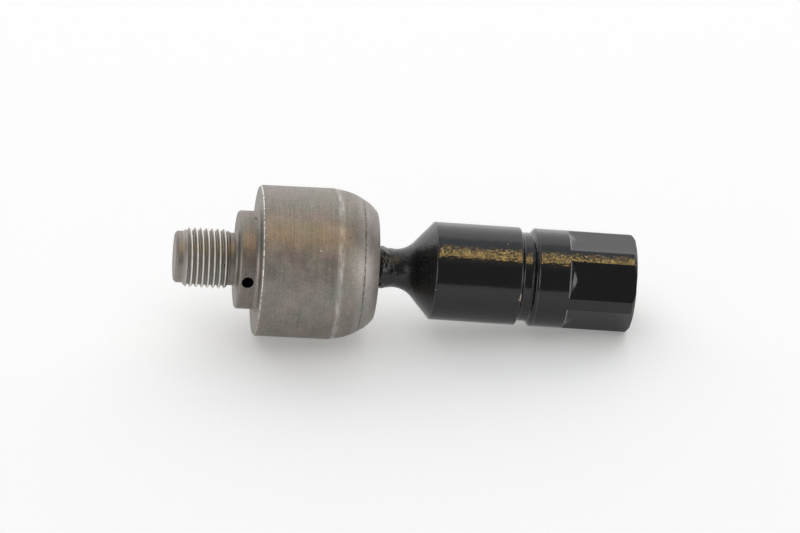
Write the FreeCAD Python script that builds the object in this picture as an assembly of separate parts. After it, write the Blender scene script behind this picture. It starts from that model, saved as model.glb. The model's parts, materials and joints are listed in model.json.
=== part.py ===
import FreeCAD, Part
import math
import os

# Inner tie rod: a rack-end housing with a threaded stud, and a rod whose ball swings in a polymer shell inside it.
# Millimetres. Each piece is turned about its own X axis, with the ball's centre at zero and the rod towards +X.
# It is then laid as the part rests: the housing's rim and the rod's far end on the floor, at Z = 0.

# Thread of the stud, and of the bore in the rod
thread_diameter = 16.0
thread_pitch = 1.5

# Stud, from its tip to the collar's seat
pilot_length = 2.2
pilot_undercut = 0.23
pilot_chamfer = 0.6
stud_thread_length = 12.2
relief_length = 2.1
relief_undercut = 0.1
relief_fillet = 0.8

# Collar, which seats on the rack's end, and its hole for a pin spanner
collar_diameter = 26.0
collar_length = 5.35
collar_edge = 0.4
collar_fillet = 1.3
spanner_hole_diameter = 3.1
spanner_hole_depth = 3.6
spanner_hole_offset = 0.3
spanner_hole_rise = 2.8

# Housing
housing_diameter = 40.0
housing_face_to_ball = 19.0
housing_face_chamfer = 0.5
band_start = 0.65
band_length = 2.15
band_drop = 0.38
crown_drop = 2.2
crown_bulge = 0.27
crease_depth = 0.18

# Lip, rolled in over the ball
rolled_length = 4.25
rolled_bulge = 0.3
lip_setback = 1.65
lip_drop = 5.6
lip_round = 0.7

# Ball, its shell and the play between them
ball_diameter = 28.0
shell_wall = 2.0
running_gap = 0.03
shell_hole_diameter = 7.0
shell_slits = 6
shell_slit_width = 1.2
shell_slit_depth = 11.5
shell_mouth_margin = 1.5

# How far the rod swings off the housing's axis, and the room that the neck then keeps
swing_limit = 24.0
swing_clearance = 0.7

# Rod
neck_diameter = 10.2
ball_fillet = 1.5
neck_fillet = 7.0
cone_from_ball = 20.6
shoulder_angle = 48.0
shoulder_edge = 0.4
rod_diameter = 26.0
rod_end_from_ball = 81.7
end_chamfer = 1.2

# Groove for the small end of the bellows
groove_from_ball = 50.4
groove_floor = 2.2
groove_depth = 1.25
groove_near_wall = 0.75
groove_far_wall = 1.05
groove_round = 0.35

# Six flats for a wrench, with the hollow shoulder that runs them out into the round
flats_from_ball = 63.1
across_flats = 24.0
runout_length = 2.6
runout_overcut = 0.05

# Threaded bore in the rod's end
bore_thread_length = 30.0
bore_drill_past = 4.0
countersink_margin = 0.5
drill_point_angle = 118.0

# Grease that has been wiped round the neck
grease_thickness = 0.35
grease_margin = 0.15

# How far the rod droops from the housing's line as the part lies
droop = 1.25

thread_radius = thread_diameter / 2
thread_root_radius = thread_radius - 0.6134 * thread_pitch
tapped_radius = thread_radius - 0.5413 * thread_pitch
pilot_radius = thread_root_radius - pilot_undercut
relief_radius = thread_root_radius - relief_undercut
collar_radius = collar_diameter / 2
housing_radius = housing_diameter / 2
ball_radius = ball_diameter / 2
cavity_radius = ball_radius + shell_wall
neck_radius = neck_diameter / 2
rod_radius = rod_diameter / 2
flat_height = across_flats / 2
end_radius = rod_radius - end_chamfer
swing = math.radians(swing_limit)

housing_face = -housing_face_to_ball
seat = housing_face - collar_length
relief_start = seat - relief_length
thread_start = relief_start - stud_thread_length
stud_tip = thread_start - pilot_length
band_end = band_start + band_length
lip_end = ball_radius - lip_setback
crease = lip_end - rolled_length

AXIS = FreeCAD.Vector(1, 0, 0)
CROSS = FreeCAD.Vector(0, 1, 0)
CENTRE = FreeCAD.Vector(0, 0, 0)


def point(x, z):
    """A point of an outline: x along the axis, z the radius."""
    return FreeCAD.Vector(x, 0, z)


def polar(radius, angle):
    """A point of an outline at a distance from the ball's centre, by its angle from the axis in radians."""
    return (radius * math.cos(angle), radius * math.sin(angle))


def round_corner(before, corner, after, radius):
    """Where the arc that rounds a corner starts, its middle and where it ends."""
    back = (before - corner).normalize()
    ahead = (after - corner).normalize()
    half = back.getAngle(ahead) / 2
    bisector = (back + ahead).normalize()
    setback = radius / math.tan(half)
    middle = corner + bisector * (radius / math.sin(half) - radius)
    return corner + back * setback, middle, corner + ahead * setback


def outline(steps):
    """A closed wire. A step is a corner (x, z), a rounded one (x, z, radius), or [(x, z)], which is a point
    that the curve between its two neighbours passes through."""
    corners = [point(*step[:2]) for step in steps if isinstance(step, tuple)]
    rounds = [step[2] if len(step) > 2 else 0 for step in steps if isinstance(step, tuple)]
    bulges = {}
    count = 0
    for step in steps:
        if isinstance(step, list):
            bulges[count - 1] = point(*step[0])
        else:
            count += 1
    edges = []
    leaves = []
    arrives = []
    for number, corner in enumerate(corners):
        arrives.append(corner)
        leaves.append(corner)
        if rounds[number]:
            after = corners[(number + 1) % count]
            start, middle, end = round_corner(corners[number - 1], corner, after, rounds[number])
            edges.append(Part.Arc(start, middle, end).toShape())
            arrives[number] = start
            leaves[number] = end
    for number in range(count):
        start = leaves[number]
        end = arrives[(number + 1) % count]
        if number in bulges:
            edges.append(Part.Arc(start, bulges[number], end).toShape())
        elif start.distanceToPoint(end) > 1e-6:
            edges.append(Part.LineSegment(start, end).toShape())
    return Part.Wire(Part.__sortEdges__(edges))


def turned(steps):
    """The solid that an outline sweeps in one turn about the axis."""
    return Part.Face(outline(steps)).revolve(CENTRE, AXIS, 360)


def bulged(start, end, bulge):
    """A point beside the middle of a chord, which makes the curve over it stand out by the bulge."""
    length = math.dist(start, end)
    side_x = -(end[1] - start[1]) / length
    side_z = (end[0] - start[0]) / length
    return [((start[0] + end[0]) / 2 + side_x * bulge, (start[1] + end[1]) / 2 + side_z * bulge)]


def stud_outline():
    """Pilot, threaded length as a plain cylinder, relief and collar, up to the housing's face."""
    return [
        (stud_tip, 0),
        (stud_tip, pilot_radius - pilot_chamfer),
        (stud_tip + pilot_chamfer, pilot_radius),
        (thread_start, pilot_radius),
        (thread_start + thread_radius - pilot_radius, thread_radius),
        (relief_start - thread_radius + relief_radius, thread_radius),
        (relief_start, relief_radius),
        (seat, relief_radius, relief_fillet),
        (seat, collar_radius - collar_edge),
        (seat + collar_edge, collar_radius),
        (housing_face, collar_radius, collar_fillet),
    ]


def crown_outline():
    """Outside of the cup, from its face over the crown to the rolled lip's end."""
    band_foot = (band_end, housing_radius - band_drop)
    crown_foot = (crease, housing_radius - crown_drop)
    lip_root = (crease, housing_radius - crown_drop - crease_depth)
    lip_top = (lip_end, housing_radius - lip_drop, lip_round)
    lip_bend = (lip_end - lip_round, housing_radius - lip_drop + lip_round)
    return [
        (housing_face, housing_radius - housing_face_chamfer),
        (housing_face + housing_face_chamfer, housing_radius),
        (band_start, housing_radius),
        band_foot,
        bulged(band_foot, crown_foot, crown_bulge),
        crown_foot,
        lip_root,
        bulged(lip_root, lip_bend, rolled_bulge),
        lip_bend,
        lip_top,
    ]


def cavity_outline():
    """Mouth, flared along the neck at full swing, and the round seat of the shell."""
    reach = neck_radius + swing_clearance
    mouth_radius = lip_end * math.tan(swing) + reach / math.cos(swing)
    edge_angle = swing + math.asin(reach / cavity_radius)
    return [
        (lip_end, mouth_radius),
        polar(cavity_radius, edge_angle),
        [polar(cavity_radius, (edge_angle + math.pi) / 2)],
        (-cavity_radius, 0),
    ]


def make_housing():
    body = turned(stud_outline() + crown_outline() + cavity_outline())
    hole_place = (seat + housing_face - collar_fillet) / 2 + spanner_hole_offset
    hole_start = FreeCAD.Vector(hole_place, -collar_radius + spanner_hole_depth, 0)
    drill = Part.makeCylinder(spanner_hole_diameter / 2, collar_radius, hole_start, -CROSS)
    drill.rotate(CENTRE, AXIS, -spanner_hole_rise)
    return body.cut(drill)


def ball_fillet_angle():
    """Where on the ball the fillet to the neck starts, as an angle from the rod's axis in radians."""
    return math.asin((neck_radius + ball_fillet) / (ball_radius + ball_fillet))


def make_bearing_shell():
    inner = ball_radius + running_gap
    outer = cavity_radius - running_gap
    mouth = swing + ball_fillet_angle() + math.radians(shell_mouth_margin)
    back = math.pi - math.asin(shell_hole_diameter / 2 / inner)
    shell = turned([
        polar(inner, mouth),
        polar(outer, mouth),
        [polar(outer, (mouth + back) / 2)],
        polar(outer, back),
        polar(inner, back),
        [polar(inner, (mouth + back) / 2)],
    ])
    slit_corner = FreeCAD.Vector(outer * math.cos(mouth) - shell_slit_depth, -shell_slit_width / 2, inner / 2)
    slits = []
    for number in range(shell_slits):
        slit = Part.makeBox(outer, shell_slit_width, outer, slit_corner)
        slit.rotate(CENTRE, AXIS, 360 / shell_slits * (number + 0.5))
        slits.append(slit)
    return shell.cut(slits)


def neck_fillet_start():
    """Where the neck's straight part ends and its fillet to the shoulder's cone starts."""
    return cone_from_ball - neck_fillet * math.tan(math.radians(shoulder_angle / 2))


def rod_outline():
    """Ball, neck, shoulder, shank with its groove, and the rod's end."""
    fillet_angle = ball_fillet_angle()
    fillet_centre = polar(ball_radius + ball_fillet, fillet_angle)
    turn = (math.pi + fillet_angle + 1.5 * math.pi) / 2
    fillet_middle = (
        fillet_centre[0] + ball_fillet * math.cos(turn),
        fillet_centre[1] + ball_fillet * math.sin(turn),
    )
    shoulder = cone_from_ball + (rod_radius - neck_radius) / math.tan(math.radians(shoulder_angle))
    floor_start = groove_from_ball + groove_near_wall
    floor_end = floor_start + groove_floor
    floor_radius = rod_radius - groove_depth
    return [
        (-ball_radius, 0),
        [polar(ball_radius, (math.pi + fillet_angle) / 2)],
        polar(ball_radius, fillet_angle),
        [fillet_middle],
        (fillet_centre[0], neck_radius),
        (cone_from_ball, neck_radius, neck_fillet),
        (shoulder, rod_radius, shoulder_edge),
        (groove_from_ball, rod_radius, groove_round),
        (floor_start, floor_radius, groove_round),
        (floor_end, floor_radius, groove_round),
        (floor_end + groove_far_wall, rod_radius, groove_round),
        (rod_end_from_ball - end_chamfer, rod_radius),
        (rod_end_from_ball, end_radius),
        (rod_end_from_ball, 0),
    ]


def flats_waste():
    """What is cut away outside the six flats, up to the hollow shoulder of the shank."""
    length = rod_end_from_ball - flats_from_ball + end_chamfer
    start = point(flats_from_ball, 0)
    stock = Part.makeCylinder(rod_diameter, length, start, AXIS)
    corners = []
    for number in range(7):
        angle = math.radians(30 + 60 * number)
        reach = flat_height / math.cos(math.pi / 6)
        corners.append(FreeCAD.Vector(flats_from_ball, reach * math.sin(angle), reach * math.cos(angle)))
    hexagon = Part.Face(Part.makePolygon(corners)).extrude(AXIS * length)
    runout_end = flats_from_ball + runout_length
    runout_depth = rod_radius - flat_height + runout_overcut
    runout_radius = (runout_length ** 2 + runout_depth ** 2) / (2 * runout_depth)
    turn = math.asin(runout_length / runout_radius) / 2
    shoulder = turned([
        (flats_from_ball, 0),
        (flats_from_ball, rod_radius),
        [(runout_end - runout_radius * math.sin(turn),
          rod_radius - runout_depth + runout_radius * (1 - math.cos(turn)))],
        (runout_end, rod_radius - runout_depth),
        (runout_end, 0),
    ])
    return stock.cut(hexagon).cut(shoulder)


def bore_waste():
    """Tapped bore with its countersink and the drill's point."""
    bore_end = rod_end_from_ball - bore_thread_length - bore_drill_past
    point_length = tapped_radius / math.tan(math.radians(drill_point_angle / 2))
    countersink = thread_radius + countersink_margin
    return turned([
        (bore_end - point_length, 0),
        (bore_end, tapped_radius),
        (rod_end_from_ball - countersink + tapped_radius, tapped_radius),
        (rod_end_from_ball + end_chamfer, countersink + end_chamfer),
        (rod_end_from_ball + end_chamfer, 0),
    ])


def make_tie_rod():
    return turned(rod_outline()).cut(flats_waste()).cut(bore_waste())


def make_neck_grease():
    start = polar(ball_radius + ball_fillet, ball_fillet_angle())[0] + grease_margin
    end = neck_fillet_start() - grease_margin
    inner = neck_radius + running_gap
    edge = inner + grease_thickness / 3
    return turned([
        (start, inner),
        (start, edge),
        [((start + end) / 2, inner + grease_thickness)],
        (end, edge),
        (end, inner),
    ])


def flat_end():
    """How far along the rod the middle of a flat reaches before the end's chamfer takes it."""
    return rod_end_from_ball - (flat_height - end_radius)


def housing_reach_down(tilt):
    """How far below the ball's centre the housing's rim lies, for a tilt in radians."""
    return band_start * math.sin(tilt) + housing_radius * math.cos(tilt)


def rod_reach_down(tilt):
    """How far below the ball's centre the end of the rod's lowest flat lies."""
    return flat_end() * math.sin(tilt) + flat_height * math.cos(tilt)


def rest_tilt():
    """The housing's nose-down tilt, in degrees, at which its rim and the drooping rod's end lie equally low."""
    low = 0.0
    high = 45.0
    while high - low > 1e-9:
        middle = (low + high) / 2
        rod_low = rod_reach_down(math.radians(middle + droop))
        if rod_low < housing_reach_down(math.radians(middle)):
            low = middle
        else:
            high = middle
    return low


def ball_place(housing_tilt):
    """The ball's centre, with the floor at zero and the part's length centred on zero."""
    down = math.radians(housing_tilt)
    rod_down = math.radians(housing_tilt + droop)
    left = -stud_tip * math.cos(down) + (pilot_radius - pilot_chamfer) * math.sin(down)
    right = rod_end_from_ball * math.cos(rod_down) + end_radius * math.sin(rod_down)
    return FreeCAD.Vector((left - right) / 2, 0, housing_reach_down(down))


def laid(shape, place, tilt):
    """The piece turned nose down by its tilt in degrees, at the place of the ball's centre."""
    shape.rotate(CENTRE, CROSS, tilt)
    shape.translate(place)
    return shape


housing_tilt = rest_tilt()
rod_tilt = housing_tilt + droop
place = ball_place(housing_tilt)
pieces = {
    "housing": laid(make_housing(), place, housing_tilt),
    "bearing_shell": laid(make_bearing_shell(), place, housing_tilt),
    "tie_rod": laid(make_tie_rod(), place, rod_tilt),
    "neck_grease": laid(make_neck_grease(), place, rod_tilt),
}
os.makedirs("parts", exist_ok=True)
for name, shape in pieces.items():
    shape.exportStep(f"parts/{name}.step")
    print(name, shape.isValid(), len(shape.Solids), round(shape.Volume, 1))
print("housing tilt", round(housing_tilt, 4), "rod tilt", round(rod_tilt, 4), "ball centre", place)
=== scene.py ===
import json
import math

import bpy
import bmesh
import numpy as np
from mathutils import Matrix, Vector


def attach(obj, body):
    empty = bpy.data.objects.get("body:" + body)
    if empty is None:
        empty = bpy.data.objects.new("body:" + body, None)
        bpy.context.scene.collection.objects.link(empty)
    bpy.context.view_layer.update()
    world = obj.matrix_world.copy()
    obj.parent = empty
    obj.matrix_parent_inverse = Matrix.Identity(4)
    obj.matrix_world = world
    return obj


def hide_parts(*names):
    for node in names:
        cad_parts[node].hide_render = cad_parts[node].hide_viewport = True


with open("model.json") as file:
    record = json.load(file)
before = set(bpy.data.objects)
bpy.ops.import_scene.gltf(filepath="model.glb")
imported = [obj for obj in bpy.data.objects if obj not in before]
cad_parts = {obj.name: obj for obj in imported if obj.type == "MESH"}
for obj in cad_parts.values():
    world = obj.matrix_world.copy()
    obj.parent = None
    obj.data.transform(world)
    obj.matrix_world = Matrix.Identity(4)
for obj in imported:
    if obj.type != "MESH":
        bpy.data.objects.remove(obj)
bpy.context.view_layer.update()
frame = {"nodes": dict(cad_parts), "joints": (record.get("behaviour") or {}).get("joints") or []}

MM = 0.001

# Sizes in millimetres along each piece's own axis, from the ball's centre towards the rod
thread_pitch = 1.5
thread_radius = 8.0
thread_root_radius = 7.08
thread_flank = math.radians(30)
crest_half_width = 0.1
crest_on_top = -38.42
pilot_radius = 6.85
pilot_chamfer = 0.6
relief_radius = 6.98
relief_fillet = 0.8
stud_tip = -40.85
thread_start = -38.65
relief_start = -26.45
seat = -24.35

collar_radius = 13.0
collar_edge = 0.4
collar_fillet = 1.3
pin_hole_place = -22.025
pin_hole_radius = 1.55
pin_hole_edge = 0.12
pin_hole_edge_depth = 0.1
pin_hole_floor = 9.4
pin_hole_point = 0.9
pin_hole_angle = math.radians(87.2)

housing_radius = 20.0
housing_face = -19.0
face_chamfer = 0.45
face_chamfer_bend = (0.18, 0.12)
band_start = 0.65
band_end = 2.8
band_foot_radius = 19.62
crease = 8.1
crease_radius = 17.8
crease_depth = 0.18
crown_bulge = 0.27
rolled_bulge = 0.3
lip_end = 12.35
lip_radius = 14.4
lip_round = 0.7
mouth_radius = 11.85
cavity_radius = 16.0
cavity_edge = 0.79

ball_radius = 14.0
neck_radius = 5.1
ball_fillet = 1.5
neck_fillet = 7.0
cone_start = 20.6
cone_slope = math.radians(48)
rod_radius = 13.0
shoulder_edge = 0.45
shoulder_place = cone_start + (rod_radius - neck_radius) / math.tan(cone_slope)
groove_start = 50.4
groove_near_wall = 0.75
groove_floor = 2.2
groove_far_wall = 1.05
groove_depth = 1.25
groove_round = 0.35
rim_place = 54.95
rim_half_width = 0.25
rim_height = 0.06
flats_start = 63.1
flat_height = 12.0
runout_length = 2.6
runout_depth = 1.05
crease_ridge = 0.05
rod_end = 81.1
end_chamfer = 0.8
least_chamfer = 0.06
end_face_ring = 10.2
countersink_radius = 8.5
tapped_radius = 7.188
bore_end = 47.1
bore_plain_length = 4.0
drill_point = 4.3

grease_start = 12.3
grease_end = 17.7
grease_end_unevenness = 1.5
grease_roll_place = 14.1
grease_roll_width = 1.25
grease_roll_height = 0.4
grease_film = 0.1
grease_least = 0.03
grease_sunk = 0.08

# Numbers of rows and columns in the meshes
housing_columns = 180
cavity_parts = 12
patch_half_columns = 5
patch_rows = 8
ball_parts = 24
flat_columns = 22
land_columns = 8
thread_rows_per_pitch = 16
bore_rows_per_pitch = 8
grease_columns = 220
grease_rows = 54

# Colours of the steel, from its ground to single marks; the highlight band, rim sheen, edge and crest
# highlights and flank light are painted light, and the crease, root and hole colours are painted shade
steel_warm = (0.296, 0.258, 0.236)
steel_cool = (0.268, 0.256, 0.224)
steel_highlight_band = (0.66, 0.64, 0.63)
steel_rim_sheen = (0.44, 0.42, 0.42)
steel_crease_shade = (0.05, 0.045, 0.045)
steel_dirt = (0.06, 0.05, 0.045)
steel_fleck = (0.75, 0.72, 0.66)
steel_edge_highlight = (0.95, 0.93, 0.90)
steel_flank_light = (0.62, 0.60, 0.57)
steel_crest_highlight = (0.92, 0.91, 0.89)
steel_root_shade = (0.10, 0.09, 0.08)
steel_nick = (0.02, 0.018, 0.018)
steel_speck = (0.95, 0.95, 0.92)
hole_shade = (0.004, 0.004, 0.004)

# Colours of paint, grease and shell; the paint's edge-line and run-out colours are painted highlights
paint_deep = (0.0045, 0.0045, 0.005)
paint_dull = (0.009, 0.0085, 0.008)
paint_grit = (0.16, 0.15, 0.14)
paint_edge_highlight = (0.22, 0.22, 0.22)
paint_runout_highlight = (0.30, 0.30, 0.30)
paint_chip = (0.55, 0.42, 0.33)
grease_deep = (0.0025, 0.0022, 0.002)
grease_brown = (0.014, 0.0105, 0.008)
grease_grit = (0.32, 0.28, 0.23)
shell_shade = (0.70, 0.67, 0.60)
shell_light = (0.78, 0.75, 0.69)

# Single marks: millimetres along the axis, degrees from the top towards -Y, millimetres out, and size
steel_nicks = (
    (-20.3, 2.0, 13.1, 0.5), (-20.0, 6.0, 13.3, 0.35), (-19.3, 17.0, 14.0, 0.5), (-19.1, 21.0, 14.4, 0.45),
    (-36.5, 8.0, 7.7, 0.5), (-36.2, 16.0, 7.7, 0.45), (-27.9, 72.0, 7.6, 0.35),
)
white_speck = (-3.92, 50.0, 20.0, 0.16)
# The same for the paint's chips, with how many times narrower each is along the axis
paint_chips = (
    (groove_start, 85.0, rod_radius, 1.2, 5.0), (groove_start - 0.35, 88.0, rod_radius, 0.2, 1.0),
    (46.3, 20.0, rod_radius, 0.15, 1.0), (22.2, 112.0, 6.95, 0.18, 1.0), (27.6, 82.0, 12.95, 0.18, 1.0),
)
# Painted highlights along the rod's edges: place along the axis, half width, and how bright each is
paint_highlight_lines = (
    (shoulder_place - 0.12, 0.10, 0.35), (groove_start + 0.02, 0.09, 0.5), (groove_start + 0.8, 0.08, 0.55),
    (groove_start + 3.2, 0.10, 0.7), (rim_place, 0.09, 0.45),
)

# Light, as radiance where 1 is the white of the floor
floor_glow = 0.25
backdrop_light = 1.5
ceiling_light = 0.95
warm_light = 16.5
fill_light = 1.12
side_light = 3.5
room_light = 0.3
dark_light = 0.24

# Colours of the floor and the lights
white = (1.0, 1.0, 1.0)
floor_colour = (0.868, 0.86, 0.848)
floor_glow_colour = (1.0, 1.0, 0.985)
ceiling_colour = (0.9, 0.95, 1.0)
warm_colour = (1.0, 0.69, 0.26)
side_colour = (1.0, 0.98, 0.95)
dark_colour = (0.95, 0.95, 1.0)
room_colour = (0.95, 0.97, 1.0)

# Places of the stage in metres, and elevations above the horizon as the object sees them
floor_half = 6.0
backdrop_distance = 1.7
backdrop_half_width = 3.0
backdrop_top = math.radians(62)
ceiling_height = 2.4
ceiling_half_width = 2.0
ceiling_front = math.radians(88)
warm_place = 0.62
warm_half_width = 0.1
warm_low = math.radians(63)
warm_high = math.radians(88)
fill_centre = (0.0, -0.95, 3.0)
fill_half_across = (1.7, 0.0, 0.0)
fill_half_up = (0.0, 1.6, 0.0)
side_centre = (1.35, -1.05, 0.62)
side_half_across = (0.27, 0.35)
side_half_up = (0.0, 0.0, 0.6)
dark_centre = (0.0, -2.8, 1.75)
dark_half_across = (5.0, 0.0, 0.0)
dark_half_up = (0.0, 0.0, 1.7)

# The camera, as fitted to the photograph's edges
camera_yaw = math.radians(4.641)
camera_elevation = math.radians(31.074)
camera_roll = math.radians(1.316)
camera_distance = 2.0
camera_lens = 339.66
camera_shift = (-0.004856, -0.0055)
target_from_ball = Vector((0.02016, 0.0, 0.0))


def fillet(before, corner, after, radius, parts=6):
    """Points along the arc that rounds a corner of an outline."""
    before, corner, after = Vector(before), Vector(corner), Vector(after)
    back, ahead = (before - corner).normalized(), (after - corner).normalized()
    half = back.angle(ahead) / 2
    start, end = corner + back * (radius / math.tan(half)), corner + ahead * (radius / math.tan(half))
    centre = corner + (back + ahead).normalized() * (radius / math.sin(half))
    points = []
    for number in range(parts + 1):
        chord = start.lerp(end, number / parts) - centre
        points.append(tuple(centre + chord.normalized() * radius))
    return points


def bulged(start, end, rise, parts=14):
    """Points from start to end along a curve that stands out from its chord by the rise."""
    start, end = Vector(start), Vector(end)
    side = Vector((-(end - start).y, (end - start).x)).normalized()
    points = []
    for number in range(parts + 1):
        t = number / parts
        points.append(tuple(start.lerp(end, t) + side * rise * 4 * t * (1 - t)))
    return points


def supported(points, margin=0.1, longest=1.0):
    """The outline with an extra point near both ends of each long straight run, for even shading."""
    kept = [points[0]]
    for start, end in zip(points, points[1:]):
        length = math.dist(start, end)
        if length < 1e-6:
            continue
        if length > longest:
            for t in (margin / length, 1 - margin / length):
                kept.append((start[0] + (end[0] - start[0]) * t, start[1] + (end[1] - start[1]) * t))
        kept.append(end)
    return kept


def rings_of(outline, columns):
    """Rows of x and radius, the same all round, from an outline's points."""
    return [(np.full(columns, x), np.full(columns, max(radius, 0.0))) for x, radius in outline]


def ring_positions(x, radius, angle):
    """Points from arrays of x along the axis, radius and angle; angle 0 is up, and a quarter turn is -Y."""
    return np.stack([x, -radius * np.sin(angle), radius * np.cos(angle)], axis=-1)


def new_object(name, points, faces, place, body, sharp_degrees=20):
    """A smooth-shaded mesh from millimetre points in a piece's own axes, placed, and riding on a body."""
    mesh = bpy.data.meshes.new(name)
    turned = np.asarray(points) * MM @ np.array(place.to_3x3()).T
    mesh.from_pydata([tuple(p) for p in turned], [], faces)
    work = bmesh.new()
    work.from_mesh(mesh)
    bmesh.ops.remove_doubles(work, verts=work.verts, dist=2e-7)
    bmesh.ops.recalc_face_normals(work, faces=work.faces)
    work.to_mesh(mesh)
    work.free()
    mesh.shade_smooth()
    mesh.set_sharp_from_angle(angle=math.radians(sharp_degrees))
    piece = bpy.data.objects.new(name, mesh)
    bpy.context.scene.collection.objects.link(piece)
    piece.matrix_world = Matrix.Translation(place.to_translation())
    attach(piece, body)
    return piece


def grid(xs, radii, angles, skip=None):
    """Points and quads of rows of rings that close round the axis; skip names the quads to leave out."""
    rows, columns = xs.shape
    points = ring_positions(xs, radii, angles[None, :] + np.zeros_like(xs)).reshape(-1, 3)
    faces = []
    for row in range(rows - 1):
        for column in range(columns):
            if skip and skip(row, column):
                continue
            after = (column + 1) % columns
            faces.append((row * columns + column, row * columns + after,
                          (row + 1) * columns + after, (row + 1) * columns + column))
    return points, faces


def thread_height(x, angle, phase, tallest, lowest):
    """Radius of a right-hand single-start thread, whose crest on top lies at the phase."""
    turns = (x - phase) / thread_pitch - angle / (2 * math.pi)
    off_crest = np.abs(turns - np.round(turns)) * thread_pitch
    drop = np.maximum(0.0, off_crest - crest_half_width) / math.tan(thread_flank)
    return np.maximum(lowest, tallest - drop)


def stud_radius(x, angle):
    """The stud's outside from pilot to relief, with 45-degree cones at both ends of the thread."""
    thread = thread_height(x, angle, crest_on_top, thread_radius, thread_root_radius)
    start_cone = pilot_radius + (x - thread_start)
    end_cone = relief_radius + (relief_start - x)
    radius = np.minimum(thread, np.minimum(start_cone, end_cone))
    low = np.where(x < (thread_start + relief_start) / 2, pilot_radius, relief_radius)
    return np.maximum(radius, low)


def housing_rows():
    """The housing's rings, and the rows where the pin hole's patch starts and ends."""
    columns = housing_columns
    angles = pin_hole_angle + np.arange(columns) * 2 * math.pi / columns
    tip = [(stud_tip, 0.0), (stud_tip, pilot_radius - pilot_chamfer)]
    tip += [(stud_tip + pilot_chamfer, pilot_radius)]
    rows = rings_of(supported(tip), columns)
    count = int(round((relief_start - thread_start + 0.2) / thread_pitch * thread_rows_per_pitch))
    for x in np.linspace(thread_start - 0.1, relief_start + 0.1, count):
        rows.append((np.full(columns, x), stud_radius(np.full(columns, x), angles)))
    neck = [(relief_start + 0.2, relief_radius)]
    neck += fillet((relief_start, relief_radius), (seat, relief_radius), (seat, collar_radius), relief_fillet)
    neck += [(seat, collar_radius - collar_edge), (seat + collar_edge, collar_radius)]
    rows += rings_of(supported(neck), columns)
    patch_start = len(rows) - 1
    fillet_start = housing_face - collar_fillet
    for x in np.linspace(seat + collar_edge, fillet_start, patch_rows + 1)[1:]:
        rows.append((np.full(columns, x), np.full(columns, collar_radius)))
    patch_end = len(rows) - 1
    before, corner = (seat, collar_radius), (housing_face, collar_radius)
    cup = fillet(before, corner, (housing_face, housing_radius), collar_fillet, 8)[1:]
    cup += [(housing_face, housing_radius - face_chamfer)]
    cup += [(housing_face + face_chamfer_bend[0], housing_radius - face_chamfer_bend[1])]
    cup += [(housing_face + face_chamfer, housing_radius), (band_start, housing_radius)]
    cup += [(band_end, band_foot_radius)]
    cup += bulged((band_end, band_foot_radius), (crease, crease_radius), crown_bulge)[1:]
    root = (crease, crease_radius - crease_depth)
    bend = (lip_end - lip_round, lip_radius + lip_round)
    cup += bulged(root, bend, rolled_bulge)
    cup += fillet(bend, (lip_end, lip_radius), (lip_end, mouth_radius), lip_round) + [(lip_end, mouth_radius)]
    for number in range(cavity_parts + 1):
        turn = cavity_edge + (math.pi - cavity_edge) * number / cavity_parts
        cup.append((cavity_radius * math.cos(turn), cavity_radius * math.sin(turn)))
    rows += rings_of(supported(cup), columns)
    xs = np.array([row[0] for row in rows])
    radii = np.array([row[1] for row in rows])
    return xs, radii, angles, patch_start, patch_end


def pin_hole_patch(first_point, xs, half_columns):
    """The collar's skin round the pin hole, the hole's wall and its floor."""
    step = 2 * math.pi / housing_columns
    offsets = [number * step for number in range(-half_columns, half_columns + 1)]
    border = [(xs[0], offset) for offset in offsets] + [(x, offsets[-1]) for x in xs[1:]]
    border += [(xs[-1], offset) for offset in reversed(offsets[:-1])]
    border += [(x, offsets[0]) for x in reversed(xs[1:-1])]
    outward = np.array([0.0, -math.sin(pin_hole_angle), math.cos(pin_hole_angle)])
    sideways = np.array([0.0, -math.cos(pin_hole_angle), -math.sin(pin_hole_angle)])
    along = np.array([1.0, 0.0, 0.0])
    outer, rim, wall, foot = [], [], [], []
    for x, offset in border:
        outer.append(ring_positions(np.array(x), np.array(collar_radius), np.array(pin_hole_angle + offset)))
        direction = Vector((x - pin_hole_place, offset * collar_radius)).normalized()
        for target, reach in ((rim, pin_hole_radius + pin_hole_edge), (wall, pin_hole_radius)):
            side = direction.y * reach
            sunk = pin_hole_edge_depth if target is wall else 0.0
            height = math.sqrt(collar_radius ** 2 - side ** 2) - sunk
            target.append(along * (pin_hole_place + direction.x * reach) + sideways * side + outward * height)
        side = direction.y * pin_hole_radius
        foot.append(along * (pin_hole_place + direction.x * pin_hole_radius) + sideways * side
                    + outward * pin_hole_floor)
    count = len(border)
    points = outer + rim + wall + foot
    points.append(along * pin_hole_place + outward * (pin_hole_floor - pin_hole_point))
    faces = []
    for level in range(3):
        for number in range(count):
            after = (number + 1) % count
            a, b = level * count, (level + 1) * count
            faces.append(tuple(first_point + k for k in (a + number, a + after, b + after, b + number)))
    for number in range(count):
        corners = (3 * count + number, 3 * count + (number + 1) % count, 4 * count)
        faces.append(tuple(first_point + k for k in corners))
    return points, faces


def make_housing(place):
    """The housing with its thread, and the pin hole in a patch of its own."""
    xs, radii, angles, patch_start, patch_end = housing_rows()
    near = set(range(patch_half_columns)) | set(range(housing_columns - patch_half_columns, housing_columns))

    def in_patch(row, column):
        return patch_start <= row < patch_end and column in near

    points, faces = grid(xs, radii, angles, in_patch)
    border_rows = [float(xs[row][0]) for row in range(patch_start, patch_end + 1)]
    more_points, more_faces = pin_hole_patch(len(points), border_rows, patch_half_columns)
    return new_object("housing_turned", np.vstack([points, np.array(more_points)]), faces + more_faces, place,
                      "housing")


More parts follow.
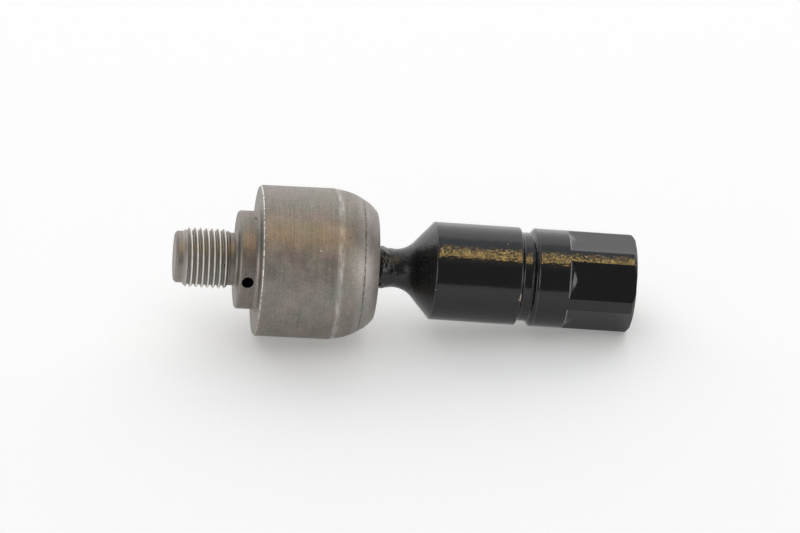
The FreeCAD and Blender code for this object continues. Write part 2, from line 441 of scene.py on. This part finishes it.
def hexagon_angles():
    """Column angles of the rod, with columns on both edges of each flat; one flat faces straight down."""
    half_flat = math.acos(flat_height / rod_radius)
    angles = []
    for number in range(6):
        middle = math.radians(60 * number)
        angles += list(middle - half_flat + np.arange(flat_columns) * 2 * half_flat / flat_columns)
        land = math.radians(60) - 2 * half_flat
        angles += list(middle + half_flat + np.arange(land_columns) * land / land_columns)
    return np.array(angles)


def hexagon_radius(angles):
    """The flats' distance from the axis, up to the round."""
    off_middle = np.abs((angles + math.radians(30)) % math.radians(60) - math.radians(30))
    return np.minimum(rod_radius, flat_height / np.cos(off_middle))


def runout_arc():
    """Radius of the arc that the hollow run-out of a flat follows."""
    return (runout_length ** 2 + runout_depth ** 2) / (2 * runout_depth)


def runout_radius(x):
    """The hollow shoulder that runs the flats out into the round."""
    arc = runout_arc()
    return rod_radius - runout_depth + arc - np.sqrt(arc ** 2 - (flats_start + runout_length - x) ** 2)


def crease_place(hexagon):
    """Where the hollow shoulder meets a flat."""
    arc = runout_arc()
    rise = rod_radius - runout_depth + arc - hexagon
    return flats_start + runout_length - np.sqrt(np.maximum(0.0, arc ** 2 - rise ** 2))


def rod_outline():
    """Ball, neck, shoulder and shank up to the flats."""
    fillet_angle = math.asin((neck_radius + ball_fillet) / (ball_radius + ball_fillet))
    points = []
    for number in range(ball_parts + 1):
        turn = math.pi + (fillet_angle - math.pi) * number / ball_parts
        points.append((ball_radius * math.cos(turn), ball_radius * math.sin(turn)))
    centre = ((ball_radius + ball_fillet) * math.cos(fillet_angle), neck_radius + ball_fillet)
    for number in range(1, 7):
        turn = math.pi + fillet_angle + (math.pi / 2 - fillet_angle) * number / 6
        points.append((centre[0] + ball_fillet * math.cos(turn), centre[1] + ball_fillet * math.sin(turn)))
    points += fillet(points[-1], (cone_start, neck_radius), (shoulder_place, rod_radius), neck_fillet, 12)
    floor_radius = rod_radius - groove_depth
    floor_start = groove_start + groove_near_wall
    floor_end = floor_start + groove_floor
    groove_end = floor_end + groove_far_wall
    corners = [
        ((cone_start, neck_radius), 0), ((shoulder_place, rod_radius), shoulder_edge),
        ((groove_start, rod_radius), groove_round), ((floor_start, floor_radius), groove_round),
        ((floor_end, floor_radius), groove_round), ((groove_end, rod_radius), groove_round),
        ((flats_start, rod_radius), 0),
    ]
    for number in range(1, len(corners) - 1):
        before, corner, after = (place for place, radius in corners[number - 1:number + 2])
        points += fillet(before, corner, after, corners[number][1])
    for number in range(9):
        t = number / 8
        points.append((rim_place - rim_half_width + 2 * rim_half_width * t,
                       rod_radius + rim_height * math.sin(math.pi * t) ** 2))
    points.append((flats_start, rod_radius))
    return supported(points)


def bore_rows(angles):
    """The rod's end face, its countersink, the tapped bore with a plain end, and the drill's point."""
    columns = len(angles)
    rows = [(np.full(columns, rod_end), np.full(columns, r)) for r in (end_face_ring, countersink_radius)]
    depth = rod_end - bore_end
    count = int(round(depth / thread_pitch * bore_rows_per_pitch))
    for x in np.linspace(rod_end, bore_end, count)[1:]:
        xs = np.full(columns, x)
        thread = thread_height(xs, angles, rod_end, thread_radius, tapped_radius)
        if x < bore_end + bore_plain_length:
            thread = np.full(columns, tapped_radius)
        rows.append((xs, np.maximum(thread, countersink_radius - (rod_end - x))))
    rows.append((np.full(columns, bore_end - drill_point), np.zeros(columns)))
    return rows


def make_rod(place):
    """The rod with ball, neck, groove, flats and run-outs, and its tapped bore."""
    angles = hexagon_angles()
    columns = len(angles)
    rows = rings_of(rod_outline(), columns)
    hexagon = hexagon_radius(angles)
    creases = np.maximum(crease_place(hexagon), flats_start + 0.02)
    for t in (0.2, 0.4, 0.6, 0.8, 1.0):
        x = flats_start + t * (creases - flats_start)
        rows.append((x, np.maximum(hexagon, runout_radius(x)) if t < 1 else hexagon))
    on_flat = np.clip((rod_radius - hexagon) / 0.2, 0, 1)
    for ahead, height in ((0.12, crease_ridge), (0.3, crease_ridge * 0.4), (0.5, 0.0)):
        rows.append((creases + ahead, hexagon + height * on_flat))
    rows.append((np.full(columns, flats_start + runout_length + 0.6), hexagon))
    chamfer_start = np.minimum(rod_end - least_chamfer, rod_end - end_chamfer + rod_radius - hexagon)
    rows.append((chamfer_start - 0.1, hexagon))
    rows.append((chamfer_start, hexagon))
    end_radius = np.minimum(rod_radius - end_chamfer, hexagon - least_chamfer / 2)
    rows.append((np.full(columns, rod_end), end_radius))
    rows += bore_rows(angles)
    points, faces = grid(np.array([row[0] for row in rows]), np.array([row[1] for row in rows]), angles)
    return new_object("rod_painted", points, faces, place, "rod")


def lumps(x, angle, seed):
    """A smooth uneven field over a ring, between about -1 and 1."""
    total = np.zeros(np.broadcast(x, angle).shape)
    pick = np.random.default_rng(seed)
    for number in range(14):
        turns = pick.integers(1, 12)
        slope = pick.uniform(-4.0, 4.0)
        total = total + np.sin(turns * angle + slope * x + pick.uniform(0, 6.28)) / (1 + 0.12 * turns)
    return total / 5.0


def make_grease(place):
    """The grease: a thick wrinkled roll beside the lip that thins out along the neck with a ragged edge."""
    angles = np.arange(grease_columns) * 2 * math.pi / grease_columns
    around = angles[None, :]
    t = np.linspace(0, 1, grease_rows)[:, None]
    reach = grease_end + grease_end_unevenness * lumps(np.zeros(grease_columns), angles, 5)[None, :]
    xs = grease_start + (reach - grease_start) * t
    uneven = lumps(xs, around, 11)
    roll = np.exp(-((xs - grease_roll_place - 0.3 * np.sin(3 * around)) / grease_roll_width) ** 2)
    thick = grease_film + grease_roll_height * roll + 0.13 * uneven * (0.4 + roll)
    thick = thick + 0.05 * lumps(xs * 3, around * 3, 3)
    fade = np.clip((1 - t) / 0.25, 0, 1) ** 0.6 * np.clip(t / 0.08, 0, 1) ** 0.5
    hollow = np.maximum(0.0, xs - (cone_start - neck_fillet * math.tan(cone_slope / 2)))
    neck = neck_radius + neck_fillet - np.sqrt(neck_fillet ** 2 - hollow ** 2)
    outside = neck + np.maximum(grease_least, thick) * fade
    inside = neck - grease_sunk
    xs = np.vstack([xs, xs[::-1], xs[:1]])
    radii = np.vstack([outside, inside[::-1], outside[:1]])
    points, faces = grid(xs, radii, angles)
    return new_object("grease_wiped", points, faces, place, "neck", 60)


class Shader:
    """A material under construction, with short names for its nodes."""

    def __init__(self, name, axes=None):
        """The axes are the matrix that placed the piece; the nodes then work along the piece's own axes."""
        self.material = bpy.data.materials.new(name)
        self.material.use_nodes = True
        self.tree = self.material.node_tree
        self.surface = self.tree.nodes["Principled BSDF"]
        self.place = self.tree.nodes.new("ShaderNodeTexCoord").outputs["Object"]
        if axes is not None:
            own = self.tree.nodes.new("ShaderNodeCombineXYZ")
            for number, direction in enumerate(axes.to_3x3().transposed()):
                self.link(self.vector("DOT_PRODUCT", self.place, direction), own.inputs[number])
            self.place = own.outputs[0]

    def link(self, source, target):
        """Joins a node's output to a socket, or sets a constant on it."""
        if isinstance(source, bpy.types.NodeSocket):
            self.tree.links.new(source, target)
        elif isinstance(source, tuple) and target.type == "RGBA":
            target.default_value = (*source, 1.0)
        else:
            target.default_value = source

    def math(self, operation, *values):
        node = self.tree.nodes.new("ShaderNodeMath")
        node.operation = operation
        for number, value in enumerate(values):
            self.link(value, node.inputs[number])
        return node.outputs[0]

    def times(self, first, second):
        return self.math("MULTIPLY", first, second)

    def plus(self, first, second):
        return self.math("ADD", first, second)

    def vector(self, operation, *values):
        node = self.tree.nodes.new("ShaderNodeVectorMath")
        node.operation = operation
        for number, value in enumerate(values):
            self.link(value, node.inputs[number])
        return node.outputs["Value" if operation in ("DOT_PRODUCT", "LENGTH") else "Vector"]

    def noise(self, cycles, detail, rough, across=None):
        """Noise with so many cycles per millimetre along the axis, and across it unless told otherwise."""
        across = cycles if across is None else across
        scale = (cycles / MM, across / MM, across / MM)
        node = self.tree.nodes.new("ShaderNodeTexNoise")
        self.link(self.vector("MULTIPLY", self.place, scale), node.inputs["Vector"])
        node.inputs["Scale"].default_value = 1.0
        node.inputs["Detail"].default_value = detail
        node.inputs["Roughness"].default_value = rough
        return node.outputs["Fac"]

    def ranged(self, value, low, high, to_low=0.0, to_high=1.0, smooth=False):
        """The value's range from low to high, brought to another range."""
        node = self.tree.nodes.new("ShaderNodeMapRange")
        if smooth:
            node.interpolation_type = "SMOOTHSTEP"
        self.link(value, node.inputs["Value"])
        for name, number in (("From Min", low), ("From Max", high), ("To Min", to_low), ("To Max", to_high)):
            self.link(number, node.inputs[name])
        return node.outputs["Result"]

    def spread(self, noise, low, high):
        """Noise, nearly all of which lies between 0.3 and 0.7, brought to a range."""
        return self.ranged(noise, 0.3, 0.7, low, high)

    def between(self, value, low, high, soft):
        """1 from low to high, and 0 outside, with soft ends."""
        up = self.ranged(value, low - soft, low + soft, smooth=True)
        down = self.ranged(value, high - soft, high + soft, 1.0, 0.0, smooth=True)
        return self.times(up, down)

    def part(self, axis):
        """Millimetres along one of the piece's own axes."""
        node = self.tree.nodes.new("ShaderNodeSeparateXYZ")
        self.link(self.place, node.inputs[0])
        return self.math("DIVIDE", node.outputs[axis], MM)

    def out(self):
        """Millimetres out from the piece's X axis."""
        y, z = self.part("Y"), self.part("Z")
        return self.math("SQRT", self.math("MULTIPLY_ADD", z, z, self.times(y, y)))

    def facing(self, axis):
        """Which way round the piece the skin lies: 1 where it faces along the named axis, and -1 opposite."""
        return self.math("DIVIDE", self.part(axis), self.out())

    def spot(self, x, angle_degrees, radius, size, narrower=1.0):
        """1 within a small spot on the skin at x along the axis and an angle from the top towards -Y."""
        angle = math.radians(angle_degrees)
        middle = (x * MM, -radius * math.sin(angle) * MM, radius * math.cos(angle) * MM)
        away = self.vector("MULTIPLY", self.vector("SUBTRACT", self.place, middle), (narrower, 1.0, 1.0))
        return self.ranged(self.vector("LENGTH", away), size * 0.6 * MM, size * 1.2 * MM, 1.0, 0.0)

    def mix(self, factor, first, second, blend="MIX"):
        node = self.tree.nodes.new("ShaderNodeMix")
        node.data_type = "RGBA"
        node.blend_type = blend
        self.link(factor, node.inputs[0])
        self.link(first, node.inputs[6])
        self.link(second, node.inputs[7])
        return node.outputs[2]

    def cover(self, colour, mask, amount, over):
        """The colour with another laid over it by that amount, where the mask is 1."""
        return self.mix(self.times(mask, amount), colour, over)

    def shade(self, colour, value):
        """The colour times a number."""
        grey = self.tree.nodes.new("ShaderNodeCombineColor")
        for number in range(3):
            self.link(value, grey.inputs[number])
        return self.mix(1.0, colour, grey.outputs[0], "MULTIPLY")

    def bump(self, height, distance, strength, edge_radius=0.0):
        """A normal that follows the height, and that rounds the edges where a radius is given."""
        node = self.tree.nodes.new("ShaderNodeBump")
        self.link(height, node.inputs["Height"])
        node.inputs["Distance"].default_value = distance * MM
        node.inputs["Strength"].default_value = strength
        if edge_radius:
            rounded = self.tree.nodes.new("ShaderNodeBevel")
            rounded.samples = 4
            rounded.inputs["Radius"].default_value = edge_radius * MM
            self.link(rounded.outputs[0], node.inputs["Normal"])
        return node.outputs["Normal"]

    def finished(self, colour, rough, normal, metal=0.0):
        """The material, with these values on its surface."""
        values = {"Base Color": colour, "Roughness": rough, "Normal": normal, "Metallic": metal}
        for name, value in values.items():
            self.link(value, self.surface.inputs[name])
        return self.material


def steel_material(axes):
    """Bare turned steel: fine rings round the axis, soft mottling, a painted highlight band and painted sheen
    on a striated rim, painted shade in the crease, thread roots and pin hole, and painted highlights on the
    face edge and thread.
    """
    s = Shader("turned_steel", axes)
    x, out = s.part("X"), s.out()
    rings = s.noise(3.2, 4.0, 0.6, across=0.05)
    fine_rings = s.noise(11.0, 2.0, 0.6, across=0.12)
    uneven = s.noise(0.9, 3.0, 0.6, across=0.22)
    mottle = s.noise(0.28, 4.0, 0.62)
    tint = s.noise(0.17, 2.0, 0.5)
    grain = s.noise(2.6, 3.0, 0.7)

    colour = s.mix(s.ranged(tint, 0.38, 0.62), steel_warm, steel_cool)
    level = s.times(s.spread(rings, 0.80, 1.06), s.spread(mottle, 0.86, 1.14))
    level = s.times(level, s.spread(grain, 0.76, 1.24))
    level = s.times(level, s.spread(fine_rings, 0.92, 1.08))
    colour = s.shade(colour, level)

    # Painted highlight: the cup's crown is lightened in an uneven band
    band = s.between(x, band_start + 0.35, band_end - 0.55, 0.55)
    band = s.times(band, s.ranged(uneven, 0.38, 0.66, 0.1, 1.0))
    colour = s.cover(colour, band, 0.6, steel_highlight_band)
    # Painted sheen: the rolled rim is lightened, unevenly
    rim_sheen = s.times(s.between(x, crease - 1.6, lip_end + 1.0, 0.9), s.spread(uneven, 0.4, 1.0))
    colour = s.cover(colour, rim_sheen, 0.4, steel_rim_sheen)
    # Painted shade: a dark broken line along the cup's crease
    patches = s.ranged(s.noise(1.6, 2.0, 0.5), 0.40, 0.58)
    line = s.times(s.between(x, crease - 0.16, crease + 0.28, 0.1), patches)
    colour = s.cover(colour, line, 0.8, steel_crease_shade)
    colour = s.cover(colour, s.ranged(s.noise(1.3, 3.0, 0.6), 0.655, 0.70), 0.55, steel_dirt)
    colour = s.cover(colour, s.ranged(s.noise(2.1, 2.0, 0.5), 0.72, 0.76), 0.7, steel_fleck)
    # Painted highlight: a broken bright line on the face's chamfer, brighter towards the top
    edge_highlight = s.times(s.between(x, housing_face + 0.02, housing_face + 0.26, 0.03),
                   s.ranged(s.noise(1.1, 3.0, 0.6), 0.36, 0.56))
    edge_highlight = s.times(edge_highlight, s.ranged(s.facing("Z"), -0.6, 0.5, 0.35, 1.0))
    colour = s.cover(colour, edge_highlight, 0.95, steel_edge_highlight)

    on_thread = s.between(x, thread_start - 0.4, relief_start, 0.1)
    # Painted light: the thread is lightened all over, with a painted highlight on its crests
    crest = s.times(on_thread, s.ranged(out, thread_radius - 0.22, thread_radius - 0.04))
    # Painted shade: the thread's roots are darkened
    root = s.times(on_thread, s.ranged(out, thread_radius - 0.5, thread_radius - 0.85))
    colour = s.cover(colour, on_thread, 0.45, steel_flank_light)
    colour = s.cover(colour, crest, 0.85, steel_crest_highlight)
    colour = s.cover(colour, root, 0.3, steel_root_shade)
    # Painted shade: the pin hole's wall is black
    hole_shade_mask = s.times(s.between(x, seat + 0.5, housing_face - 1.35, 0.02),
                      s.ranged(out, collar_radius - 0.2, collar_radius - 0.5))
    colour = s.mix(hole_shade_mask, colour, hole_shade)
    ragged = s.ranged(s.noise(3.0, 2.0, 0.5), 0.42, 0.56)
    for nick in steel_nicks:
        colour = s.mix(s.times(s.spot(*nick), ragged), colour, steel_nick)
    colour = s.mix(s.spot(*white_speck), colour, steel_speck)

    rough = s.math("SUBTRACT", s.spread(mottle, 0.48, 0.58), s.times(band, 0.1))
    relief = s.plus(s.times(rings, 0.6), s.times(grain, 0.5))
    return s.finished(colour, rough, s.bump(relief, 0.012, 0.7, 0.1), metal=1.0)


def paint_material(axes):
    """Gloss black paint over the forged and turned rod: orange peel all over, sandy at the upper near side,
    and coarser on neck and cone."""
    s = Shader("black_paint", axes)
    x = s.part("X")
    peel = s.noise(0.55, 2.0, 0.5)
    ripple = s.noise(1.5, 2.0, 0.5)
    fine = s.noise(2.4, 3.0, 0.6)
    sandy = s.noise(1.8, 1.0, 0.5)
    coarse = s.noise(1.3, 4.0, 0.65)
    forged = s.ranged(x, 24.0, 28.4, 1.0, 0.0, smooth=True)
    sanded = s.times(s.between(s.facing("Z"), 0.74, 0.93, 0.04), s.ranged(peel, 0.35, 0.6, 0.45, 1.0))
    sanded = s.times(sanded, s.ranged(s.facing("Y"), 0.0, -0.3))

    wave = s.times(peel, 0.6)
    wave = s.plus(wave, s.times(ripple, 0.35))
    wave = s.plus(wave, s.times(fine, 0.2))
    wave = s.plus(wave, s.times(s.times(sandy, sanded), 2.2))
    wave = s.plus(wave, s.times(s.times(coarse, forged), 1.2))

    colour = s.mix(s.ranged(fine, 0.4, 0.7), paint_deep, paint_dull)
    grit = s.times(s.ranged(s.noise(3.0, 2.0, 0.5), 0.62, 0.70), forged)
    colour = s.cover(colour, grit, 0.5, paint_grit)
    # Painted highlights: thin light lines at the shoulder, the groove's edges and the rim
    highlight_unevenness = s.ranged(s.noise(0.9, 3.0, 0.6), 0.40, 0.62, 0.35, 1.0)
    for place, half_width, brightness in paint_highlight_lines:
        line = s.times(s.between(x, place - half_width, place + half_width, 0.05), highlight_unevenness)
        colour = s.cover(colour, line, brightness, paint_edge_highlight)
    # Painted highlight: a light line where the flats run out into the round
    runout_highlight = s.times(s.between(x, flats_start + 0.06, flats_start + 0.34, 0.05),
                          s.ranged(s.out(), rod_radius - 0.02, rod_radius - 0.08))
    colour = s.cover(colour, runout_highlight, 0.8, paint_runout_highlight)

    rough = s.plus(s.spread(fine, 0.085, 0.15), s.times(forged, 0.12))
    for mark in paint_chips:
        chip = s.spot(*mark)
        colour = s.mix(chip, colour, paint_chip)
        rough = s.plus(rough, s.times(chip, 0.4))
    return s.finished(colour, rough, s.bump(wave, 0.09, 0.5, 0.22))


def grease_material(axes):
    """Wet black grease with grit in it."""
    s = Shader("black_grease", axes)
    wrinkles = s.noise(0.75, 3.0, 0.5)
    grit = s.noise(3.2, 2.0, 0.5)
    colour = s.mix(s.ranged(wrinkles, 0.45, 0.7), grease_deep, grease_brown)
    colour = s.cover(colour, s.ranged(grit, 0.67, 0.73), 0.6, grease_grit)
    height = s.plus(wrinkles, s.times(grit, 0.12))
    return s.finished(colour, s.spread(wrinkles, 0.06, 0.16), s.bump(height, 0.6, 0.8))


def shell_material():
    """Moulded polymer, faintly mottled."""
    s = Shader("shell_polymer")
    cloud = s.noise(0.3, 3.0, 0.5)
    colour = s.mix(s.spread(cloud, 0.0, 1.0), shell_shade, shell_light)
    return s.finished(colour, s.spread(cloud, 0.42, 0.52), s.bump(cloud, 0.02, 0.4))


def flat(name, centre, across, up, material):
    """A flat rectangle from its centre and two half sides."""
    centre, across, up = Vector(centre), Vector(across), Vector(up)
    corners = [centre - across - up, centre + across - up, centre + across + up, centre - across + up]
    mesh = bpy.data.meshes.new(name)
    mesh.from_pydata(corners, [], [(0, 1, 2, 3)])
    mesh.materials.append(material)
    piece = bpy.data.objects.new(name, mesh)
    bpy.context.scene.collection.objects.link(piece)
    return piece


def card(name, centre, across, up, colour, strength):
    """A stage card that gives light and that no camera sees."""
    material = bpy.data.materials.new(name)
    material.use_nodes = True
    nodes = material.node_tree.nodes
    nodes.clear()
    light = nodes.new("ShaderNodeEmission")
    light.inputs["Color"].default_value = (*colour, 1.0)
    light.inputs["Strength"].default_value = strength
    material.node_tree.links.new(light.outputs[0], nodes.new("ShaderNodeOutputMaterial").inputs["Surface"])
    piece = flat(name, centre, across, up, material)
    piece.visible_camera = False
    return piece


def make_floor():
    """A plain pale floor that carries a soft shadow."""
    material = bpy.data.materials.new("pale_floor")
    material.use_nodes = True
    surface = material.node_tree.nodes["Principled BSDF"]
    surface.inputs["Base Color"].default_value = (*floor_colour, 1.0)
    surface.inputs["Roughness"].default_value = 0.7
    surface.inputs["Specular IOR Level"].default_value = 0.2
    surface.inputs["Emission Color"].default_value = (*floor_glow_colour, 1.0)
    surface.inputs["Emission Strength"].default_value = floor_glow
    floor = flat("floor", (0, 0, 0), (floor_half, 0, 0), (0, floor_half, 0), material)


def make_lights():
    """A white backdrop, a dim ceiling, a warm strip in front and above, a fill for the floor, a light on each
    side for the edges, and a dark wall in front."""
    half_top = backdrop_distance * math.tan(backdrop_top) / 2
    card("backdrop", (0, backdrop_distance, half_top), (backdrop_half_width, 0, 0), (0, 0, half_top), white,
         backdrop_light)
    back, front = ceiling_height / math.tan(backdrop_top), -ceiling_height / math.tan(ceiling_front)
    card("ceiling", (0, (back + front) / 2, ceiling_height), (ceiling_half_width, 0, 0),
         (0, (back - front) / 2, 0), ceiling_colour, ceiling_light)
    near, far = ceiling_height / math.tan(warm_high), ceiling_height / math.tan(warm_low)
    strip = card("warm_strip", (warm_place, -(near + far) / 2, ceiling_height), (warm_half_width, 0, 0),
                 (0, (far - near) / 2, 0), warm_colour, warm_light)
    strip.visible_diffuse = False
    fill = card("fill", fill_centre, fill_half_across, fill_half_up, white, fill_light)
    fill.visible_glossy = False
    for name, way in (("side_right", 1), ("side_left", -1)):
        side = card(name, (way * side_centre[0], side_centre[1], side_centre[2]),
                    (way * side_half_across[0], side_half_across[1], 0), side_half_up, side_colour, side_light)
        side.visible_diffuse = False
    dark = card("dark_wall", dark_centre, dark_half_across, dark_half_up, dark_colour, dark_light)
    dark.visible_diffuse = False
    world = bpy.data.worlds.new("room")
    world.use_nodes = True
    world.node_tree.nodes["Background"].inputs["Color"].default_value = (*room_colour, 1.0)
    world.node_tree.nodes["Background"].inputs["Strength"].default_value = room_light
    bpy.context.scene.world = world


def make_camera(ball):
    """A long lens at the photograph's angle."""
    to_camera = Vector((-math.sin(camera_yaw) * math.cos(camera_elevation),
                        -math.cos(camera_yaw) * math.cos(camera_elevation), math.sin(camera_elevation)))
    right = (-to_camera).cross(Vector((0, 0, 1))).normalized()
    up = right.cross(-to_camera)
    rolled_right = right * math.cos(camera_roll) + up * math.sin(camera_roll)
    rolled_up = up * math.cos(camera_roll) - right * math.sin(camera_roll)
    data = bpy.data.cameras.new("camera")
    data.lens = camera_lens
    data.sensor_width = 36.0
    data.shift_x, data.shift_y = camera_shift
    data.clip_start, data.clip_end = 0.1, 50.0
    camera = bpy.data.objects.new("camera", data)
    bpy.context.scene.collection.objects.link(camera)
    turn = Matrix((rolled_right, rolled_up, to_camera)).transposed().to_4x4()
    camera.matrix_world = Matrix.Translation(ball + target_from_ball + to_camera * camera_distance) @ turn
    bpy.context.scene.camera = camera


def placed(ball, axis):
    """The matrix that lays a piece's own X axis along the given axis, with its zero at the ball's centre."""
    axis = Vector(axis).normalized()
    side = Vector((0, 1, 0))
    above = axis.cross(side).normalized()
    return Matrix.Translation(ball) @ Matrix((axis, side, above)).transposed().to_4x4()


joints = {joint["name"]: joint for joint in frame["joints"]}
ball = Vector(joints["rod_spin"]["pos_m"])
housing_place = placed(ball, joints["swing_direction"]["axis"])
rod_place = placed(ball, joints["rod_spin"]["axis"])

housing = make_housing(housing_place)
housing.data.materials.append(steel_material(housing_place))
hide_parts("housing")

rod = make_rod(rod_place)
rod.data.materials.append(paint_material(rod_place))
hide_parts("tie_rod")

grease = make_grease(rod_place)
grease.data.materials.append(grease_material(rod_place))
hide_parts("neck_grease")

shell = frame["nodes"]["bearing_shell"]
shell.data.materials.clear()
shell.data.materials.append(shell_material())

make_floor()
make_lights()
make_camera(ball)
bpy.context.scene.view_settings.view_transform = "Standard"
